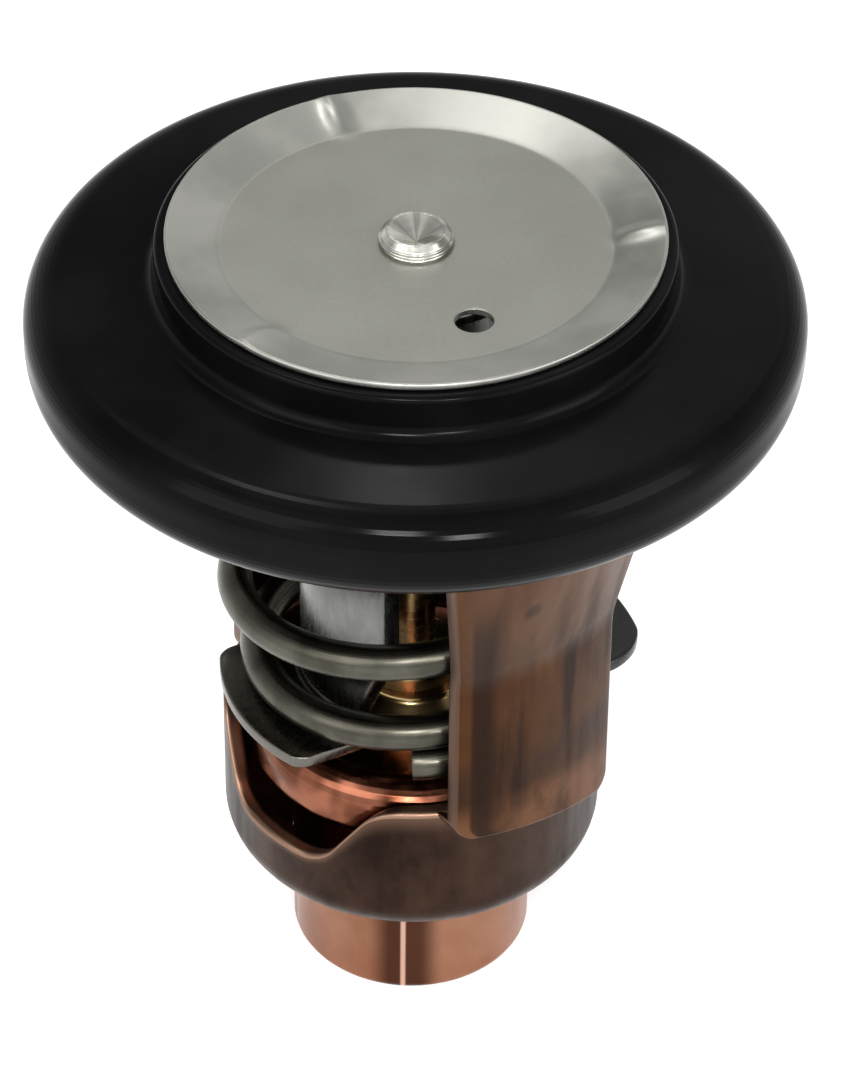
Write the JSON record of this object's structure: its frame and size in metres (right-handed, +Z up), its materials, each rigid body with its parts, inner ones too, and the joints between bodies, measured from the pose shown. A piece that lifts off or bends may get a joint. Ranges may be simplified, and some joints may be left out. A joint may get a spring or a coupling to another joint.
{
  "type": "engine thermostat",
  "caption": "Wax-operated coolant valve: rubber-rimmed flange, dished plate lifted by a wax cup and shut by a conical spring.",
  "frame": {"origin": "centre of the wax cup's flat base", "axes": "+Z up the piston towards the valve plate; -Y is the front, where the spring's cut end shows"},
  "size_m": [0.05, 0.05, 0.0594],
  "materials": {
    "ring_rubber": "smooth moulded",
    "frame_copper": "brown patina on rolled sheet",
    "plate_stainless": "dull cold-rolled",
    "rivet_steel": "turned",
    "yoke_stainless": "satin",
    "spring_stainless": "drawn wire",
    "cup_copper": "bright drawn copper",
    "sleeve_rubber": "matte",
    "wax": "copper-filled wax",
    "guide_brass": "turned",
    "washer_polymer": "matte",
    "piston_brass": "ground"
  },
  "bodies": {
    "housing": {"seal_ring": "ring_rubber", "frame": "frame_copper", "return_spring": "spring_stainless", "wax_cup": "cup_copper", "squeeze_sleeve": "sleeve_rubber", "wax_charge": "wax", "piston_guide": "guide_brass", "guide_washer": "washer_polymer"},
    "valve": {"valve_plate": "plate_stainless", "valve_rivet": "rivet_steel", "yoke": "yoke_stainless", "piston": "piston_brass"}
  },
  "joints": [
    {"name": "valve_lift", "type": "slide", "parent": "housing", "child": "valve", "axis": [0, 0, 1], "range_m": [0, 0.008], "stiffness_N_per_m": 6900, "deforming": ["return_spring"]}
  ]
}
